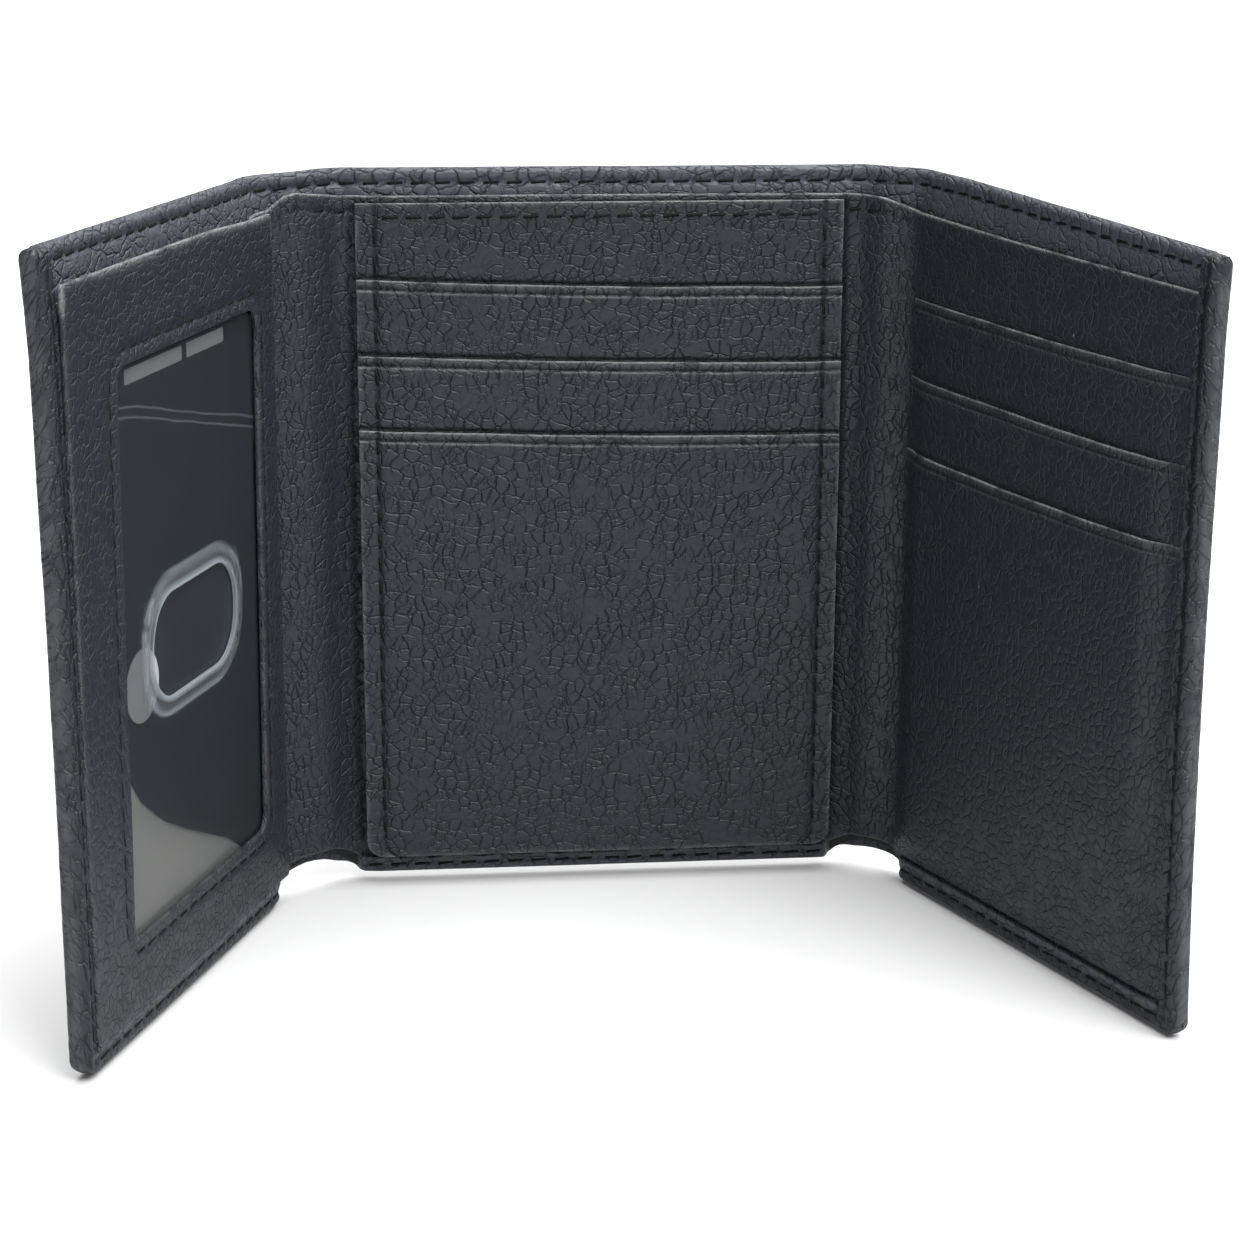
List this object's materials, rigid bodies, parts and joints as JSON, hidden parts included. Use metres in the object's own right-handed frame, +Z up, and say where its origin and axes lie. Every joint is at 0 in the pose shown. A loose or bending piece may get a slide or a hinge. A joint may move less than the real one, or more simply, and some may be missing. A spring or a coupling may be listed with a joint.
{
  "type": "trifold wallet",
  "caption": "Upright trifold wallet, half open: note compartment behind the panels, card slots on the middle and right panels, clear identity window on the left panel.",
  "frame": {"origin": "middle of the centre panel's bottom edge, half way through its thickness", "axes": "+Z up along the fold lines, +X to the right seen from the inside, +Y out of the back; the inner faces look towards -Y"},
  "size_m": [0.1474, 0.071, 0.108],
  "materials": {
    "outer_leather": "pebbled, satin",
    "inner_leather": "fine pebbled, satin",
    "lining": "plain woven",
    "grey_lining": "coated, matt",
    "clear_vinyl": "clear, soft",
    "insert_card": "smooth printed card",
    "thread": "twisted"
  },
  "bodies": {
    "centre": {"shell_centre": "outer_leather", "bill_lining_centre": "lining", "bill_wall_centre": "inner_leather", "slip_pocket_lining": "lining", "card_block_back": "inner_leather", "card_pocket_top": "inner_leather", "card_pocket_middle": "inner_leather", "card_pocket_bottom": "inner_leather", "card_lining_top": "lining", "card_lining_middle": "lining", "stitching_centre": "thread"},
    "left_spine": {"shell_left_spine": "outer_leather", "bill_lining_left_spine": "lining", "gusset_left": "inner_leather", "stitching_left_spine": "thread"},
    "left_wing": {"shell_left_wing": "outer_leather", "bill_lining_left_wing": "lining", "id_pocket_back": "grey_lining", "id_frame": "inner_leather", "id_window": "clear_vinyl", "stitching_left_wing": "thread"},
    "insert": {"id_insert": "insert_card"},
    "right_spine": {"shell_right_spine": "outer_leather", "bill_lining_right_spine": "lining", "gusset_right": "inner_leather", "stitching_right_spine": "thread"},
    "right_wing": {"shell_right_wing": "outer_leather", "bill_lining_right_wing": "lining", "bill_wall_right": "inner_leather", "wing_pocket_top": "inner_leather", "wing_pocket_middle": "inner_leather", "wing_pocket_bottom": "inner_leather", "wing_lining_top": "lining", "wing_lining_middle": "lining", "stitching_right_wing": "thread"}
  },
  "joints": [
    {"name": "left_fold_inner", "type": "hinge", "parent": "centre", "child": "left_spine", "pos_m": [-0.0385, 0.00105, 0], "axis": [0, 0, 1], "range_deg": [-34, 56]},
    {"name": "left_fold_outer", "type": "hinge", "parent": "left_spine", "child": "left_wing", "pos_m": [-0.04969, -0.0065, 0], "axis": [0, 0, 1], "range_deg": [-34, 56]},
    {"name": "insert_slide", "type": "slide", "parent": "left_wing", "child": "insert", "axis": [0, 0, 1], "range_m": [0, 0.06]},
    {"name": "right_fold_inner", "type": "hinge", "parent": "centre", "child": "right_spine", "pos_m": [0.0385, 0.00105, 0], "axis": [0, 0, -1], "range_deg": [-34, 56]},
    {"name": "right_fold_outer", "type": "hinge", "parent": "right_spine", "child": "right_wing", "pos_m": [0.04638, -0.00426, 0], "axis": [0, 0, -1], "range_deg": [-34, 56]}
  ],
  "couplings": [
    {"joint": "left_fold_outer", "follows": "left_fold_inner", "ratio": 1},
    {"joint": "right_fold_outer", "follows": "right_fold_inner", "ratio": 1}
  ]
}
